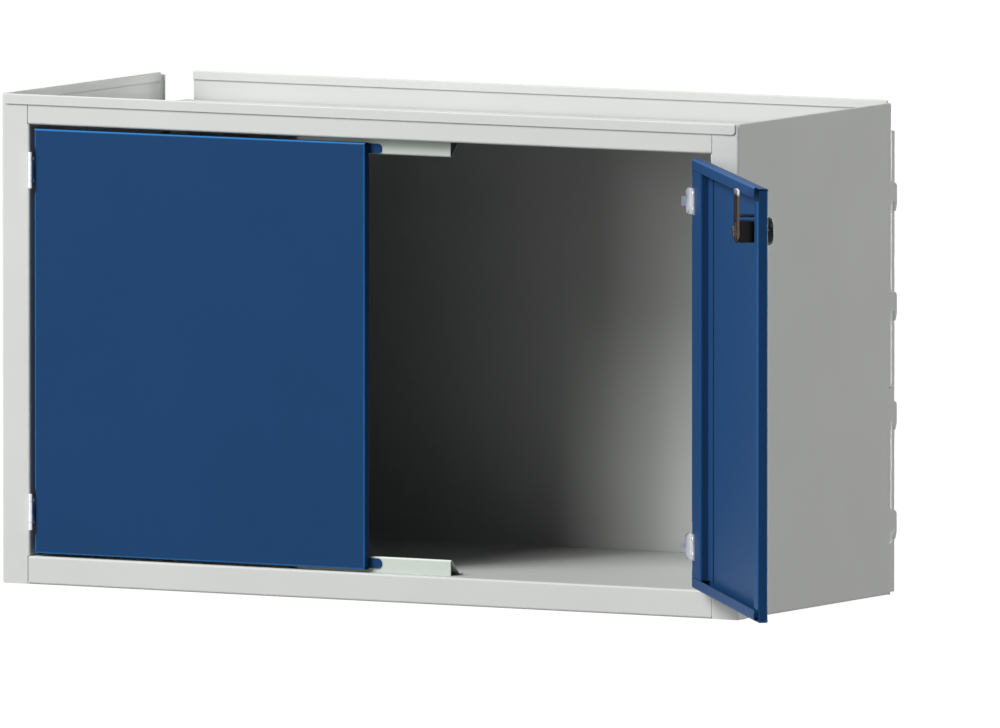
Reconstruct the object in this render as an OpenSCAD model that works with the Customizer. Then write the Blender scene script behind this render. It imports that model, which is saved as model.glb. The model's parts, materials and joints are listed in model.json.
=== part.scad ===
// Wall-hung double door cabinet in folded sheet steel, with an open tray on its top.
// X runs along the width from the middle, Y goes back from the uprights' front plane,
// and Z goes up from the base.

/* [Cabinet body] */
// Width over the side panels
body_w = 768; // [600:1:1100]
// Height over the tray rims
body_h = 450; // [350:1:800]
// Depth from the front frame to the uprights' front plane
side_depth = 295; // [200:1:450]
// How far the body reaches back between the uprights
recess_depth = 27; // [18:1:50]
// Width of each rear corner recess
recess_w = 12; // [10:0.5:18]
// Sheet thickness of the body
sheet_t = 1.2; // [1:0.1:1.5]
// Inner bend radius of the body sheets
bend_r = 1; // [0.8:0.1:1.5]

/* [Front frame] */
// Width of the frame beside each door
stile_w = 29; // [24:0.5:40]
// Depth of the return behind the frame's inner edge
stile_return = 16; // [15:0.5:24]
// Height of the bottom rail, up to the cabinet floor
rail_h = 25.8; // [20:0.2:40]
// Depth of the tray, from its rim down to its floor
tray_depth = 26.6; // [20:0.2:40]
// Gap between the stiles and the rails beside them
seam_gap = 0.8; // [0.4:0.1:1.2]

/* [Rims and flanges] */
// Height of the rolled lip on the front of the tray
front_lip_h = 9.4; // [8:0.2:14]
// Distance from the lip's ends to the body's sides
lip_inset = 3; // [2:0.5:8]
// Height of the hems on the side rims
side_hem_h = 8.4; // [7:0.2:12]
// Height of the hem on the back rim
back_hem_h = 8.1; // [7:0.2:12]
// Distance from the back rim's ends to the body's sides
back_rim_inset = 20; // [20:0.5:40]
// Width of the hidden weld flanges
flange_w = 14; // [10:0.5:18]

/* [Hanging hooks] */
// Height of the lowest hook's seat above the base
hook_seat_z = 59.5; // [58:0.5:90]
// Height pitch of the hooks
hook_pitch = 100; // [50:50:100]
// Hooks on each side
hook_count = 4; // [2:1:4]
// Height of a hook's root
hook_root_h = 17; // [12:0.5:22]
// Thickness of the upright wall that a hook grips
hook_grip = 2.4; // [1.5:0.1:3]
// Drop of a hook's nose below its seat
hook_drop = 9; // [5:0.5:12]
// Diameter of the round notch in the rear edge
access_notch_d = 14; // [8:0.5:20]
// Height of the round notch
access_notch_z = 183.5; // [182:0.5:240]
// Height under which the rear flange is cut away
rear_flange_z = 49; // [30:0.5:56]

/* [Doors] */
// Gap between each door's hinge edge and the frame
door_side_gap = 4.6; // [4.4:0.1:6]
// Gap between the two doors
door_mid_gap = 8; // [6:0.5:12]
// Gap under the doors
door_low_gap = 2.8; // [2:0.2:5]
// Gap over the doors, up to the tray's underside
door_top_gap = 3.8; // [2:0.2:6]
// Depth of the doors
door_depth = 10; // [8:0.5:14]
// Setback of the doors' faces from the frame
door_setback = 1; // [0.5:0.1:2]
// Sheet thickness of the doors
door_t = 1; // [0.8:0.1:1.2]
// Height of the lips at the top and bottom of a door
door_lip = 10; // [8:0.5:14]
// Width of the lip at a door's closing edge
closing_lip = 15; // [12:0.5:20]
// Gap between the end lips and the closing lip
lip_gap = 2; // [1:0.5:4]
// Height of the corner notches at the closing edge
corner_notch = 12; // [11:0.5:18]
// Reach of the left door's tongues behind the right door
tongue_reach = 12.5; // [10:0.5:16]
// Width of the stiffener's land at the inner plane
stiffener_w = 44; // [36:1:60]
// Width of the stiffener's foot on the door's face
stiffener_foot = 21; // [15:1:30]
// Angle at which the right door stands open
open_angle = 128.4; // [90:0.1:130]

/* [Hinges] */
// Height of the lower hinges' centres above the doors' lower edge
hinge_inset = 38; // [35:0.5:80]
// Height of a hinge's barrel
barrel_h = 32; // [26:0.5:40]
// Outer diameter of a hinge's barrel
barrel_d = 4.8; // [4.6:0.1:5]
// Diameter of a hinge pin
pin_d = 2.3; // [2:0.1:2.6]
// Radial clearance of a hinge pin in the door's knuckle
pin_clear = 0.05; // [0.02:0.01:0.1]
// Height of the door's knuckle between the two on the frame
door_knuckle_h = 18.8; // [14:0.2:22]
// Height of the notch in a door's edge round a hinge
hinge_notch_h = 44; // [38:1:60]
// Distance of the hinge axis in front of the doors' faces
axis_proud = 3.5; // [3.3:0.1:4]

/* [Strikes] */
// Width of the strikes
strike_w = 160; // [120:1:240]
// Height of a strike's front leg
strike_h = 14.6; // [12:0.2:18]
// Depth over which a strike's ramp runs back
strike_ramp = 16.5; // [14:0.5:20]
// Width of a strike's weld foot
strike_foot = 7; // [5:0.5:10]
// Gap between a closed door and the strikes
strike_gap = 0.3; // [0.3:0.1:0.8]

/* [Lock] */
// Distance from the lock's axis to the right door's closing edge
lock_inset = 30; // [28:0.5:40]
// Distance from the lock's axis down from the right door's top edge
lock_drop = 40.4; // [40:0.2:60]
// Diameter of the lock's domed face
lock_face_d = 25.6; // [22:0.2:30]
// Height of the lock's domed face
lock_face_h = 9.4; // [7:0.2:11]
// Height and width of the lock's housing
lock_housing_w = 19; // [16:0.5:20]
// Depth of the cam's front face behind the door's face
cam_depth = 22.6; // [22.4:0.1:24]
// Width of the cam
cam_w = 20; // [14:0.5:20]
// Thickness of the cam
cam_t = 2; // [1.5:0.1:2.5]
// Reach of the cam from the lock's axis
cam_reach = 38.4; // [34:0.2:38.6]
// Diameter of the lock's plug
plug_d = 13; // [11:0.5:15]

/* [Hidden] */
$fn = 48;
// Segments in one bend
bend_steps = 6;
// How far a cut runs past what it cuts
overrun = 1;
// Gap inside a hem, and between sheets that lie against each other
hem_gap = 0.2;
// Bend radius of the rear corners, which is larger than the others
rear_bend_r = 3.4;
// Setback of the side's rear edge where it has no flange
rear_edge_back = 5;
// Length over which two sheets run together
overlap = 2;
// Radius of the small relief at the end of the rear flange
relief_r = 2;
// Depth and tip of a hook's nose
hook_nose = 5;
hook_slit = 2.2;
hook_tip = 2.5;
// Radius of the lip's lower corners
lip_corner_r = 3;
// Inner bend radius of the doors
door_bend_r = 1;
// Clearance between the door's folded lips and the stiffener
stiffener_gap = 0.5;
// Radius at the ends of the doors' lips
lip_end_r = 4;
// Depth and chamfer of the notches round the hinges
hinge_notch_depth = 1.6;
hinge_notch_chamfer = 3;
// Width over which the doors' edge folds are made
edge_strip = 20;
// Gap between two knuckles
knuckle_gap = 0.2;
// Head of a hinge pin
pin_head_d = 4.2;
pin_head_h = 0.8;
// The frame's hinge leaf
frame_leaf_d = 12.5;
// The door's hinge leaf, which is a casting
leaf_wing_w = 15;
leaf_wing_h = 24;
leaf_wing_t = 1.4;
leaf_boss_d = 6;
leaf_boss_w = 3.6;
leaf_boss_chamfer = 2.2;
leaf_block_h = 8.3;
leaf_block_d = 10;
// Rivets that hold the hinges
rivet_d = 3;
rivet_clear = 0.05;
rivet_head_d = 5.4;
rivet_head_h = 0.8;
rivet_tail_h = 1;
frame_rivet_spacing = 18;
leaf_rivet_spacing = 14;
leaf_rivet_inset = 9.5;
// Strikes
strike_t = 1.2;
strike_bend_r = 0.8;
// Lock
lock_shoulder_r = 4;
lock_crown_r = 55;
plug_clear = 0.05;
plug_proud = 0.6;
key_slot_w = 1.8;
key_slot_l = 8;
key_slot_d = 4;
clip_t = 1.2;
clip_w = 28;
clip_groove = 1.2;
cam_hub_r = 10.5;
cam_seat_w = 7;
cam_seat_clear = 0.05;
cam_gap = 0.4;
cam_screw_d = 4;
cam_screw_head_d = 9;
cam_screw_head_h = 2.6;
cam_screw_slot = 1.2;
steel_grey = [0.84, 0.85, 0.83];
strike_grey = [0.76, 0.79, 0.76];
door_blue = [0.15, 0.27, 0.44];
zinc = [0.78, 0.79, 0.81];
lock_black = [0.06, 0.06, 0.07];

x_side = body_w/2;
y_front = -side_depth;
y_back = recess_depth;
z_floor = rail_h;
z_tray = body_h - tray_depth;
z_ceiling = z_tray - sheet_t;
stile_edge = stile_w - bend_r - sheet_t;
x_open = x_side - stile_w;
x_seam = x_side - stile_edge - seam_gap;
corner_r = bend_r + sheet_t;

door_x0 = x_open - door_side_gap;
door_x1 = door_mid_gap/2;
door_z0 = z_floor + door_low_gap;
door_z1 = z_ceiling - door_top_gap;
door_y0 = y_front + door_setback;
door_y1 = door_y0 + door_depth;
door_mid_z = (door_z0 + door_z1)/2;

barrel_r = barrel_d/2;
axis_x = x_open - barrel_r;
axis_y = door_y0 - axis_proud;
hinge_zs = [door_z0 + hinge_inset, door_z1 - hinge_inset];
frame_knuckle_h = (barrel_h - door_knuckle_h)/2 - knuckle_gap;
bore_r = pin_d/2 + pin_clear;

lock_x = door_x1 + lock_inset;
lock_z = door_z1 - lock_drop;
cam_y = door_y0 + cam_depth;
strike_y = door_y1 + strike_gap;

// Outline of one face of a folded sheet. The face follows the corner points p, which may hold an
// inner bend radius as a third value, and the sheet lies to the left of them.
function at(p, i) = [p[i][0], p[i][1]];
function unit(v) = v/norm(v);
function heading(p, i) = unit(at(p, i + 1) - at(p, i));
function left_of(v) = [-v[1], v[0]];
function bend_of(p, i, r) = len(p[i]) > 2 ? p[i][2] : r;
function bend_points(corner, from, to, r, t, off) =
    let (turn = cross(from, to) > 0 ? 1 : -1)
    let (angle = acos(from*to))
    let (face_r = turn > 0 ? r + t : r)
    let (centre = corner - face_r*tan(angle/2)*from + turn*face_r*left_of(from))
    let (start = turn*left_of(from))
    let (first = atan2(-start[1], -start[0]))
    let (radius = turn > 0 ? r + t - off : r + off)
    [for (k = [0:bend_steps])
        let (a = first + turn*angle*k/bend_steps)
        centre + radius*[cos(a), sin(a)]];
function face_points(p, t, r, off) = [
    at(p, 0) + off*left_of(heading(p, 0)),
    for (i = [1:len(p) - 2])
        each bend_points(at(p, i), heading(p, i - 1), heading(p, i), bend_of(p, i, r), t, off),
    at(p, len(p) - 1) + off*left_of(heading(p, len(p) - 2))
];
function reversed(v) = [for (i = [len(v) - 1:-1:0]) v[i]];

// Section of a folded sheet of thickness t
module sheet(p, t = sheet_t, r = bend_r) {
    polygon(concat(face_points(p, t, r, 0), reversed(face_points(p, t, r, t))));
}

// A section in X and Y, raised from z0 to z1
module upright_fold(z0, z1) {
    translate([0, 0, z0])
        linear_extrude(z1 - z0) children();
}

// A section in Y and Z, run from x0 to x1
module cross_fold(x0, x1) {
    translate([x0, 0, 0])
        rotate([90, 0, 90])
            linear_extrude(x1 - x0) children();
}

// A section in X and Z, run from y0 to y1
module deep_fold(y0, y1) {
    translate([0, y1, 0])
        rotate([90, 0, 0])
            linear_extrude(y1 - y0) children();
}

module block(low, high) {
    translate(low) cube(high - low);
}

// What is left of a square corner outside a fillet, pointing to the origin
module corner_waste(r, h) {
    translate([0, 0, -overrun])
        linear_extrude(h + 2*overrun)
            difference() {
                translate([-overrun, -overrun]) square(r + overrun);
                translate([r, r]) circle(r);
            }
}

module both_sides() {
    children();
    mirror([1, 0, 0]) children();
}

// Hook in the plane of the side panel, its seat at the origin
module hook() {
    rotate([90, 0, 90])
        linear_extrude(sheet_t)
            polygon([
                [-rear_edge_back - overlap, 0],
                [hook_grip, 0],
                [hook_grip, -hook_drop],
                [hook_grip + hook_tip, -hook_drop],
                [hook_grip + hook_nose, -hook_tip],
                [hook_grip + hook_nose, hook_root_h - hook_tip],
                [hook_grip + hook_tip, hook_root_h],
                [-rear_edge_back - overlap, hook_root_h]
            ]);
}

// Side panel with its stile, rear flange, rim hem and hooks, drawn for the left
module side_panel() {
    wall_x = -x_side;
    inner_x = wall_x + sheet_t;
    hem_z = body_h - side_hem_h;
    stile_top = body_h - sheet_t - hem_gap - overlap/2;
    rear_corner = rear_bend_r + sheet_t;
    // the rear flange ends before the bend of the back panel's recess wall
    flange_end = wall_x + recess_w - bend_r;
    difference() {
        union() {
            upright_fold(0, hem_z)
                sheet([
                    [flange_end, 0],
                    [wall_x, 0, rear_bend_r],
                    [wall_x, y_front],
                    [wall_x + stile_w, y_front],
                    [wall_x + stile_w, y_front + stile_return]
                ]);
            upright_fold(hem_z - overlap, stile_top)
                sheet([
                    [wall_x, y_front + corner_r + overlap],
                    [wall_x, y_front],
                    [wall_x + stile_edge, y_front]
                ]);
            upright_fold(hem_z - overlap, stile_top)
                sheet([
                    [flange_end, 0],
                    [wall_x, 0, rear_bend_r],
                    [wall_x, -rear_corner - overlap]
                ]);
            deep_fold(y_front + corner_r, -rear_corner)
                sheet([
                    [inner_x, hem_z - overlap],
                    [inner_x, body_h - sheet_t, hem_gap/2],
                    [inner_x + hem_gap, body_h - sheet_t, hem_gap/2],
                    [inner_x + hem_gap, hem_z]
                ]);
        }
        // the stile has no return beside the rails
        block(
            [wall_x + stile_edge, y_front - overrun, -overrun],
            [wall_x + stile_w + overrun, y_front + stile_return + overrun, z_floor]
        );
        block(
            [wall_x + stile_edge, y_front - overrun, z_ceiling],
            [wall_x + stile_w + overrun, y_front + stile_return + overrun, body_h]
        );
        // rear flange cut away below its end, with a round relief
        block(
            [wall_x - overrun, -rear_edge_back, -overrun],
            [wall_x + recess_w + overrun, overrun, rear_flange_z - relief_r]
        );
        translate([wall_x - overrun, -rear_edge_back, rear_flange_z - relief_r])
            rotate([0, 90, 0]) cylinder(r = relief_r, h = recess_w + 2*overrun);
        // above the tray the wall keeps only its rounded rear edge
        block(
            [wall_x + rear_corner, -rear_corner, z_ceiling - overlap],
            [wall_x + recess_w + overrun, overrun, body_h + overrun]
        );
        // access to the upright's securing hole
        translate([wall_x - overrun, -rear_edge_back, access_notch_z])
            rotate([0, 90, 0]) cylinder(d = access_notch_d, h = recess_w + 2*overrun);
        // the flange is slit where the hooks stand straight out of the wall
        for (k = [0:hook_count - 1])
            block(
                [wall_x - overrun, -rear_edge_back, hook_seat_z + k*hook_pitch - hook_slit],
                [
                    wall_x + recess_w + overrun,
                    overrun,
                    hook_seat_z + k*hook_pitch + hook_root_h + hook_slit
                ]
            );
        // corner of the wall that the bottom flange turns round
        block(
            [wall_x - overrun, y_front + stile_return, -overrun],
            [inner_x + overrun, -rear_corner - overlap, corner_r]
        );
        hinge_rivet_holes();
    }
    for (k = [0:hook_count - 1])
        translate([wall_x, 0, hook_seat_z + k*hook_pitch]) hook();
    deep_fold(y_front + stile_return, -rear_corner - overlap)
        sheet([
            [wall_x, corner_r + overlap],
            [wall_x, 0],
            [wall_x + flange_w, 0]
        ]);
}

// Holes for the rivets of the frame's hinge leaves
module hinge_rivet_holes() {
    for (z = hinge_zs)
        for (s = [-1, 1])
            translate([-x_open - sheet_t - overrun, frame_rivet_y(), z + s*frame_rivet_spacing/2])
                rotate([0, 90, 0])
                    cylinder(d = rivet_d + 2*rivet_clear, h = sheet_t + 2*overrun + barrel_r);
}
function frame_rivet_y() = y_front + frame_leaf_d - rivet_head_d;

module left_side() {
    color(steel_grey) side_panel();
}

module right_side() {
    color(steel_grey) mirror([1, 0, 0]) side_panel();
}

// Weld flange turned down along each side of a deck whose top is at z
module deck_flanges(z, y0, y1) {
    edge_x = x_side - sheet_t - hem_gap;
    both_sides()
        deep_fold(y0, y1)
            sheet([
                [edge_x, z - flange_w],
                [edge_x, z],
                [edge_x - corner_r - overlap, z]
            ]);
}

// Flat of a deck whose top is at z, between the side panels and on between the recess walls
module deck_flat(z) {
    edge_x = x_side - sheet_t - hem_gap - corner_r;
    rear_x = x_side - recess_w - sheet_t - hem_gap;
    block(
        [-edge_x, y_front + sheet_t + hem_gap, z - sheet_t],
        [edge_x, -2*sheet_t - hem_gap, z]
    );
    block(
        [-rear_x, -2*sheet_t - hem_gap - overlap, z - sheet_t],
        [rear_x, y_back - sheet_t - hem_gap, z]
    );
}

// Floor with its front rail and weld flanges
module floor_panel() {
    rear_y = y_back - sheet_t - hem_gap;
    color(steel_grey) {
        cross_fold(-x_seam, x_seam)
            sheet([
                [rear_y, z_floor - flange_w],
                [rear_y, z_floor],
                [y_front, z_floor],
                [y_front, 0],
                [y_front + flange_w, 0]
            ]);
        difference() {
            deck_flat(z_floor);
            both_sides() rail_corner(z_floor);
            block(
                [-x_side, rear_y - corner_r, z_floor - corner_r - overrun],
                [x_side, rear_y + overrun, z_floor + overrun]
            );
        }
        deck_flanges(z_floor, y_front + sheet_t + hem_gap, -rear_bend_r - 2*sheet_t - hem_gap);
    }
}

// What the square front edge of a deck would fill outside the rail's bend
module rail_corner(z) {
    block(
        [-overrun, y_front - overrun, z - corner_r],
        [x_seam, y_front + corner_r, z + overrun]
    );
}

// Tray on the top, with the front rim and its outside lip
module top_tray() {
    rear_y = y_back - sheet_t - hem_gap;
    lip_x = x_side - lip_inset;
    leaf_y = y_front - hem_gap;
    lip_z = body_h - front_lip_h;
    color(steel_grey) {
        cross_fold(-x_seam, x_seam)
            sheet([
                [leaf_y, lip_z],
                [leaf_y, body_h - sheet_t, hem_gap/2],
                [y_front, body_h - sheet_t, hem_gap/2],
                [y_front, z_ceiling],
                [rear_y - sheet_t, z_ceiling],
                [rear_y - sheet_t, z_ceiling - flange_w]
            ]);
        difference() {
            cross_fold(-lip_x, lip_x)
                sheet([
                    [leaf_y, lip_z],
                    [leaf_y, body_h - sheet_t, hem_gap/2],
                    [y_front, body_h - sheet_t, hem_gap/2],
                    [y_front, body_h - sheet_t - overlap/2]
                ]);
            both_sides()
                translate([lip_x, leaf_y, lip_z])
                    rotate([90, 0, 0]) mirror([1, 0, 0]) corner_waste(lip_corner_r, sheet_t);
        }
        difference() {
            deck_flat(z_tray);
            both_sides()
                block(
                    [-overrun, y_front - overrun, z_ceiling - overrun],
                    [x_seam, y_front + corner_r, z_tray + overrun]
                );
            block(
                [-x_side, rear_y - corner_r, z_ceiling - overrun],
                [x_side, rear_y + overrun, z_tray + overrun]
            );
        }
        deck_flanges(z_tray, y_front + sheet_t + hem_gap, -rear_bend_r - 2*sheet_t - hem_gap);
    }
}

// Back wall with its recess walls and the back rim
module back_panel() {
    wall_x = x_side - recess_w;
    rim_x = x_side - back_rim_inset;
    foot_x = x_side - rear_bend_r - 2*sheet_t;
    foot_y = -sheet_t;
    hem_z = body_h - back_hem_h;
    color(steel_grey) {
        upright_fold(0, z_ceiling - hem_gap)
            sheet([
                [foot_x, foot_y],
                [wall_x, foot_y],
                [wall_x, y_back],
                [-wall_x, y_back],
                [-wall_x, foot_y],
                [-foot_x, foot_y]
            ]);
        block([-rim_x, y_back - sheet_t, z_ceiling - overlap], [rim_x, y_back, hem_z]);
        cross_fold(-rim_x, rim_x)
            sheet([
                [y_back - sheet_t - hem_gap, hem_z],
                [y_back - sheet_t - hem_gap, body_h - sheet_t, hem_gap/2],
                [y_back - sheet_t, body_h - sheet_t, hem_gap/2],
                [y_back - sheet_t, hem_z - overlap]
            ]);
    }
}

// Strike with its front leg, ramp and weld foot, standing on the floor
module strike() {
    leg_y = strike_y + strike_t;
    cross_fold(-strike_w/2, strike_w/2)
        sheet([
            [leg_y, 0],
            [leg_y, strike_h - strike_t/4],
            [strike_y + strike_ramp, 0],
            [strike_y + strike_ramp + strike_foot, 0]
        ], strike_t, strike_bend_r);
}

module bottom_strike() {
    color(strike_grey) translate([0, 0, z_floor]) strike();
}

module top_strike() {
    color(strike_grey) translate([0, 0, z_ceiling]) mirror([0, 0, 1]) strike();
}

// Frame leaf of a hinge on the left, centred on the hinge's height
module frame_leaf() {
    color(zinc)
        difference() {
            union() {
                for (s = [-1, 1])
                    translate([-axis_x, axis_y, s*(barrel_h - frame_knuckle_h)/2])
                        cylinder(r = barrel_r, h = frame_knuckle_h, center = true);
                for (s = [-1, 1])
                    block(
                        [-x_open, axis_y, s*(barrel_h - frame_knuckle_h)/2 - frame_knuckle_h/2],
                        [-x_open + barrel_r - bore_r, y_front + bend_r + sheet_t,
                            s*(barrel_h - frame_knuckle_h)/2 + frame_knuckle_h/2]
                    );
                block(
                    [-x_open, y_front + bend_r, -barrel_h/2],
                    [-x_open + barrel_r - bore_r, y_front + frame_leaf_d, barrel_h/2]
                );
            }
            translate([-axis_x, axis_y, 0])
                cylinder(d = pin_d, h = barrel_h + 2*overrun, center = true);
            for (s = [-1, 1])
                translate([-x_open - overrun, frame_rivet_y(), s*frame_rivet_spacing/2])
                    rotate([0, 90, 0])
                        cylinder(d = rivet_d + 2*rivet_clear, h = barrel_r + 2*overrun);
        }
}

// Pin of a hinge on the left, with a head at each end
module hinge_pin() {
    color(zinc)
        translate([-axis_x, axis_y, 0]) {
            cylinder(d = pin_d, h = barrel_h, center = true);
            for (s = [-1, 1])
                translate([0, 0, s*(barrel_h + pin_head_h)/2])
                    cylinder(d = pin_head_d, h = pin_head_h, center = true);
        }
}

// Rivets of the left frame leaves
module frame_rivets() {
    leaf_t = barrel_r - bore_r;
    color(zinc)
        for (z = hinge_zs)
            for (s = [-1, 1])
                translate([-x_open, frame_rivet_y(), z + s*frame_rivet_spacing/2])
                    rotate([0, 90, 0]) {
                        translate([0, 0, -sheet_t - rivet_tail_h])
                            cylinder(d = rivet_head_d, h = rivet_tail_h);
                        translate([0, 0, -sheet_t - rivet_tail_h])
                            cylinder(d = rivet_d, h = sheet_t + rivet_tail_h + leaf_t + rivet_head_h);
                        translate([0, 0, leaf_t])
                            cylinder(d = rivet_head_d, h = rivet_head_h);
                    }
}

// Door leaf of a hinge on the left door, centred on the hinge's height
module door_leaf() {
    plate_x = -axis_x + barrel_r;
    knuckle = door_knuckle_h - knuckle_gap;
    wing_y = door_y1 + leaf_wing_t;
    color(zinc)
        difference() {
            union() {
                translate([-axis_x, axis_y, 0])
                    cylinder(r = barrel_r, h = knuckle, center = true);
                block(
                    [plate_x - barrel_r + bore_r, axis_y, -knuckle/2],
                    [plate_x, door_y1 + overlap/2, knuckle/2]
                );
                block(
                    [plate_x - barrel_r + bore_r, door_y1, -leaf_wing_h/2],
                    [plate_x + leaf_wing_w, wing_y, leaf_wing_h/2]
                );
                translate([plate_x - barrel_r + bore_r, 0, 0])
                    cross_fold(0, leaf_boss_w)
                        polygon([
                            [door_y1, -leaf_wing_h/2],
                            [door_y1 + leaf_boss_d - leaf_boss_chamfer, -leaf_wing_h/2],
                            [door_y1 + leaf_boss_d, leaf_boss_chamfer - leaf_wing_h/2],
                            [door_y1 + leaf_boss_d, leaf_wing_h/2 - leaf_boss_chamfer],
                            [door_y1 + leaf_boss_d - leaf_boss_chamfer, leaf_wing_h/2],
                            [door_y1, leaf_wing_h/2]
                        ]);
                block(
                    [plate_x - barrel_r + bore_r, door_y1, -leaf_block_h/2],
                    [plate_x - barrel_r + bore_r + leaf_boss_w, door_y1 + leaf_block_d, leaf_block_h/2]
                );
            }
            translate([-axis_x, axis_y, 0])
                cylinder(r = bore_r, h = door_knuckle_h + 2*overrun, center = true);
            leaf_rivet_holes();
        }
}

function leaf_rivet_x() = -axis_x + barrel_r + leaf_rivet_inset;

// Holes for the rivets of one door leaf
module leaf_rivet_holes() {
    for (s = [-1, 1])
        translate([leaf_rivet_x(), door_y1 + leaf_wing_t + overrun, s*leaf_rivet_spacing/2])
            rotate([90, 0, 0])
                cylinder(d = rivet_d + 2*rivet_clear, h = leaf_wing_t + door_t + 2*overrun);
}

// Rivets of the left door's leaves
module door_rivets() {
    color(zinc)
        for (z = hinge_zs)
            for (s = [-1, 1])
                translate([leaf_rivet_x(), door_y1 + leaf_wing_t, z + s*leaf_rivet_spacing/2])
                    rotate([90, 0, 0]) {
                        translate([0, 0, -rivet_head_h])
                            cylinder(d = rivet_head_d, h = rivet_head_h);
                        translate([0, 0, -rivet_head_h])
                            cylinder(
                                d = rivet_d,
                                h = rivet_head_h + leaf_wing_t + door_t + rivet_tail_h
                            );
                        translate([0, 0, leaf_wing_t + door_t])
                            cylinder(d = rivet_head_d, h = rivet_tail_h);
                    }
}

// Folded pan of a door, drawn closed on the left, without what differs at its closing edge
module door_pan() {
    corner = door_bend_r + door_t;
    closing_x = -door_x1;
    difference() {
        union() {
            cross_fold(-door_x0, closing_x)
                sheet([
                    [door_y1, door_z1 - door_lip],
                    [door_y1, door_z1],
                    [door_y0, door_z1],
                    [door_y0, door_z0],
                    [door_y1, door_z0],
                    [door_y1, door_z0 + door_lip]
                ], door_t, door_bend_r);
            upright_fold(door_z0 + corner_notch, door_z1 - corner_notch)
                sheet([
                    [closing_x - edge_strip, door_y0],
                    [closing_x, door_y0],
                    [closing_x, door_y1],
                    [closing_x - closing_lip, door_y1]
                ], door_t, door_bend_r);
            upright_fold(door_z0 + corner, door_z1 - corner)
                sheet([
                    [closing_x - edge_strip, door_y0],
                    [closing_x, door_y0],
                    [closing_x, door_y1 - corner]
                ], door_t, door_bend_r);
            upright_fold(door_z0 + corner, door_z1 - corner)
                sheet([
                    [-door_x0, door_y1 - door_t],
                    [-door_x0, door_y0],
                    [-door_x0 + edge_strip, door_y0]
                ], door_t, door_bend_r);
        }
        // square edges that the upright folds turn round
        difference() {
            block(
                [closing_x - corner, door_y0 - overrun, door_z0 + corner],
                [closing_x + overrun, door_y0 + corner, door_z1 - corner]
            );
            upright_fold(door_z0, door_z1)
                sheet([
                    [closing_x - edge_strip, door_y0],
                    [closing_x, door_y0],
                    [closing_x, door_y1]
                ], door_t, door_bend_r);
        }
        difference() {
            block(
                [-door_x0 - overrun, door_y0 - overrun, door_z0 + corner],
                [-door_x0 + corner, door_y0 + corner, door_z1 - corner]
            );
            upright_fold(door_z0, door_z1)
                sheet([
                    [-door_x0, door_y1],
                    [-door_x0, door_y0],
                    [-door_x0 + edge_strip, door_y0]
                ], door_t, door_bend_r);
        }
        // end lips stop short of the closing lip
        block(
            [closing_x - closing_lip - lip_gap, door_y1 - corner, door_z0 - overrun],
            [closing_x + overrun, door_y1 + overrun, door_z0 + corner_notch]
        );
        block(
            [closing_x - closing_lip - lip_gap, door_y1 - corner, door_z1 - corner_notch],
            [closing_x + overrun, door_y1 + overrun, door_z1 + overrun]
        );
        // notches round the hinges, with sloping ends
        for (z = hinge_zs)
            translate([-door_x0, door_y1 + overrun, z])
                rotate([90, 0, 0])
                    linear_extrude(door_depth + 2*overrun)
                        polygon([
                            [-overrun, -hinge_notch_h/2],
                            [0, -hinge_notch_h/2],
                            [hinge_notch_depth, hinge_notch_chamfer - hinge_notch_h/2],
                            [hinge_notch_depth, hinge_notch_h/2 - hinge_notch_chamfer],
                            [0, hinge_notch_h/2],
                            [-overrun, hinge_notch_h/2]
                        ]);
    }
}

// Outline in X and Z of a lip's round end, its upper edge at z = 0 and its tip at x = 0
module lip_end(length) {
    hull() {
        translate([-length, -door_lip]) square([overlap, door_lip - door_bend_r]);
        translate([-lip_end_r, -door_lip + lip_end_r]) circle(lip_end_r);
        translate([-lip_end_r, -door_bend_r - lip_end_r]) circle(lip_end_r);
    }
}

// The left door's tongue at the top edge
module tongue() {
    deep_fold(door_y1 - door_t, door_y1)
        translate([-door_x1 + tongue_reach, door_z1])
            lip_end(tongue_reach + closing_lip + lip_gap + overlap);
}

module left_door_panel() {
    color(door_blue) {
        door_pan();
        tongue();
        translate([0, 0, 2*door_mid_z]) mirror([0, 0, 1]) tongue();
    }
}

// Z-shaped stiffener behind a door's hinge edge, drawn on the left
module door_stiffener() {
    step_x = -door_x0 + stiffener_w;
    foot_y = door_y0 + 2*door_t;
    difference() {
        upright_fold(door_z0 + door_lip + stiffener_gap, door_z1 - door_lip - stiffener_gap)
            sheet([
                [step_x + stiffener_foot, foot_y],
                [step_x, foot_y],
                [step_x, door_y1],
                [-door_x0, door_y1]
            ], door_t, door_bend_r);
        for (z = hinge_zs) {
            block(
                [-door_x0 - overrun, door_y1 - door_t - overrun, z - hinge_notch_h/2],
                [-door_x0 + hinge_notch_depth, door_y1 + overrun, z + hinge_notch_h/2]
            );
            translate([0, 0, z]) leaf_rivet_holes();
        }
    }
}

module left_door_stiffener() {
    color(door_blue) door_stiffener();
}

// Puts what is drawn on the left door on the right door, which stands open
module on_right_door() {
    translate([axis_x, axis_y, 0])
        rotate([0, 0, open_angle])
            translate([-axis_x, -axis_y, 0])
                mirror([1, 0, 0]) children();
}

// Puts what is drawn round the lock's axis on the right door; its Z axis points out of the door
module at_lock() {
    translate([axis_x, axis_y, 0])
        rotate([0, 0, open_angle])
            translate([lock_x - axis_x, door_y0 - axis_y, lock_z])
                rotate([90, 0, 0]) children();
}

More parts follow.
